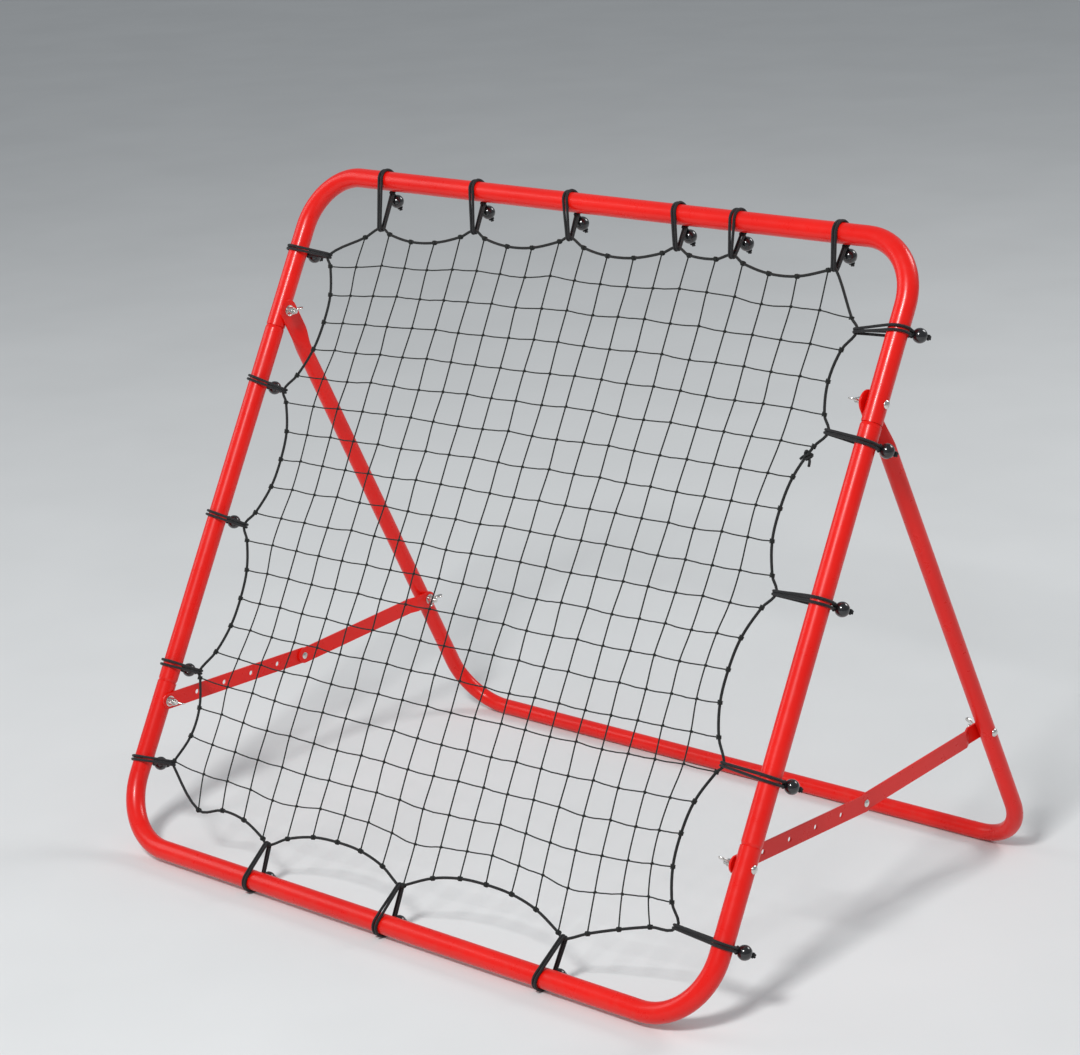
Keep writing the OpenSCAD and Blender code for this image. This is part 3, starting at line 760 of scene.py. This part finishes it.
def make_wing_nut(name, body, node, pin, seat_x, side, turn):
    """A cast wing nut: a tapered hub, and two wings that sweep out and away from the seat."""
    away = Vector((-side, 0, 0))
    origin = Vector((seat_x, pin[1], pin[2]))
    hub = Build()
    hub.lathe([(r * MM, d * MM) for r, d in HUB], origin, away, 36)
    n = len(WING)
    middle = (sum(p[0] for p in WING) / n, sum(p[1] for p in WING) / n)
    for wing in (0, math.pi):
        a = turn + wing
        radial = Vector((0, math.cos(a), math.sin(a)))
        flat = away.cross(radial)
        base = len(hub.verts)
        for depth, inset in WING_RINGS:
            for p in WING:
                r, d = (p[i] + (middle[i] - p[i]) * inset for i in (0, 1))
                bend = 0.9 * ((r - WING[0][0]) / 10) ** 2
                hub.verts.append(tuple(origin + (radial * r + away * d + flat * (depth + bend)) * MM))
        for k in range(len(WING_RINGS) - 1):
            low, high = base + k * n, base + (k + 1) * n
            for q in range(n):
                m = (q + 1) % n
                hub.faces.append((low + q, low + m, high + m, high + q))
                hub.uvs += [(0, 0), (1, 0), (1, 1), (0, 1)]
        for first in (base, base + (len(WING_RINGS) - 1) * n):
            hub.faces.append(tuple(range(first, first + n)))
            hub.uvs += [(0.5, 0.5)] * n
    obj = hub.object(name, body, "zinc", ZINC, [node])
    bevel = obj.modifiers.new("rounding", "BEVEL")
    bevel.width, bevel.segments = 0.0004, 2
    bevel.limit_method, bevel.angle_limit = "ANGLE", math.radians(40)


def make_wing_nuts():
    # how far each nut is turned at rest, in degrees
    turns = {"left_hinge": 100, "right_hinge": 70, "left_front": 65, "right_front": 50,
             "left_rear": 110, "right_rear": 20}
    for key, turn in turns.items():
        side = -1 if key.startswith("left") else 1
        node = key + "_wing_nut"
        lo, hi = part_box(node)
        pin = joints[key + "_nut_spin"]["pos_m"]
        seat = hi.x if side > 0 else lo.x
        make_wing_nut(node + "_cast", key + "_nut", node, pin, seat, side, math.radians(turn + 90))


make_bolts()
make_wing_nuts()


# ---- rear frame ----

LEG_R = mounts["rear_ground_bar"]["dims"]["r_mm"]
BEND = 70
# The pressed tongue, and where down the leg it starts to turn round and is fully round
THICK, HALF_WIDE = 3.6, 14.0
FLAT, ROUND = 34, 68
SIDES = 48
leg_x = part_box("rear_tube")[1].x / MM - LEG_R
tongue_x = leg_x - LEG_R + 3.25 + THICK / 2


def hinge_line(x):
    return Vector((x * MM, hinge.y, hinge.z))


def roundness(t):
    """0 on the flat tongue and 1 on the round leg, in a straight line between them."""
    return min(max((t - FLAT) / (ROUND - FLAT), 0), 1)


def section(t):
    """Middle across, half thickness, half width, squareness and dish of the leg, t down from the hinge."""
    f = roundness(t)
    f = f * f * (3 - 2 * f)
    if t < 0:
        w = HALF_WIDE * math.sqrt(max(1 - (t / HALF_WIDE) ** 2, 0.0006))
    else:
        w = HALF_WIDE + (LEG_R - HALF_WIDE) * f
    rim = 1.0
    if t < 5 - HALF_WIDE:
        rim = min(1.0, 0.35 + 0.65 * math.sqrt(max(0, (t + HALF_WIDE) / 5)))
    middle = tongue_x + (leg_x - tongue_x) * f
    dish = 1.5 * math.exp(-(((t - 27) / 10) ** 2))
    return middle, (THICK / 2 + (LEG_R - THICK / 2) * f) * rim, w, 0.28 + 0.72 * f, dish


def ring(centre, across, outward, t):
    """The points round one section."""
    middle, a, b, square, dish = section(t)
    edge = 0.55 + 0.45 * roundness(t)
    out = []
    for angle in full_turn(SIDES):
        c, n = math.cos(angle), math.sin(angle)
        x = a * math.copysign(abs(c) ** square, c)
        y = b * math.copysign(abs(n) ** edge, n)
        if c < 0:
            x += dish * max(0, 1 - (y / (b * 0.78)) ** 2)
        out.append(tuple(centre + outward * ((middle - leg_x + x) * MM) + across * (y * MM)))
    return out


def make_rear_frame():
    """One bent tube whose two ends are pressed flat: the section goes from a round to a dished tongue."""
    foot = Vector((0, *mounts["rear_ground_bar"]["pos_m"][1:]))
    down = foot - hinge
    down.x = 0
    leg = down.length / MM
    down.normalize()
    rear = X.cross(down)
    # distances down the leg: the tongue's round tip, close steps while it is pressed, then wide ones
    stations = [-HALF_WIDE * math.cos(math.pi / 2 * s / 8) for s in range(9)]
    stations += [3 + 3 * i for i in range(22)]
    stations += list(np.linspace(72, leg - BEND, 24))
    rings = [ring(hinge_line(leg_x) + down * (t * MM), rear, X, t) for t in stations]
    for i in range(1, 17):
        a = math.pi / 2 * i / 17
        across, along = leg_x - BEND + BEND * math.cos(a), leg - BEND + BEND * math.sin(a)
        centre = hinge_line(across) + down * (along * MM)
        rings.append(ring(centre, rear, X * math.cos(a) + down * math.sin(a), leg))
    for x in np.linspace(leg_x - BEND, 0, 10):
        rings.append(ring(hinge_line(x) + down * (leg * MM), rear, down, leg))
    rings += [[(-x, y, z) for x, y, z in r] for r in reversed(rings[:-1])]
    build = Build()
    for r in rings:
        build.verts += r
    for i in range(len(rings) - 1):
        low, high = i * SIDES, (i + 1) * SIDES
        for k in range(SIDES):
            m = (k + 1) % SIDES
            build.faces.append((low + k, low + m, high + m, high + k))
            build.uvs += [(0, 0)] * 4
    last = (len(rings) - 1) * SIDES
    build.faces += [tuple(range(SIDES)), tuple(range(last, last + SIDES))]
    build.uvs += [(0, 0)] * (2 * SIDES)
    build.object("rear_frame_pressed", "rear_frame", "red_paint", RED, ["rear_tube"])


make_rear_frame()


# ---- floor and light ----

def make_stage():
    reach = 40
    corners = [(-reach, -reach, 0), (reach, -reach, 0), (reach, reach, 0), (-reach, reach, 0)]
    floor = bpy.data.meshes.new("floor")
    floor.from_pydata(corners, [], [(0, 1, 2, 3)])
    obj = bpy.data.objects.new("floor", floor)
    bpy.context.scene.collection.objects.link(obj)
    p = Paint("pale_floor", Specular_IOR_Level=0.2)
    p.set("Base Color", p.ramp(p.noise(3, 2), [(0.3, (0.70, 0.71, 0.71)), (0.7, (0.73, 0.74, 0.74))]))
    p.set("Roughness", p.ramp(p.noise(40, 3), [(0.3, 0.75), (0.7, 0.85)]))
    floor.materials.append(p.mat)


def make_lights():
    world = bpy.data.worlds.new("studio")
    bpy.context.scene.world = world
    world.use_nodes = True
    background = world.node_tree.nodes["Background"]
    background.inputs["Color"].default_value = (0.90, 0.95, 1.0, 1)
    background.inputs["Strength"].default_value = 0.34
    aim = (0, 0, 0.4)
    for name, place, size, power in (
        ("key", (1.2, -3.4, 3.9), 0.9, 185),
        ("fill", (-3.6, -1.6, 2.4), 2.2, 30),
        ("rim", (1.6, 3.4, 3.2), 1.6, 60),
    ):
        light = bpy.data.lights.new(name, "AREA")
        light.size, light.energy = size, power
        obj = bpy.data.objects.new(name, light)
        obj.location = place
        obj.rotation_mode = "QUATERNION"
        obj.rotation_quaternion = (Vector(aim) - Vector(place)).to_track_quat("-Z", "Y")
        bpy.context.scene.collection.objects.link(obj)


make_stage()
make_lights()
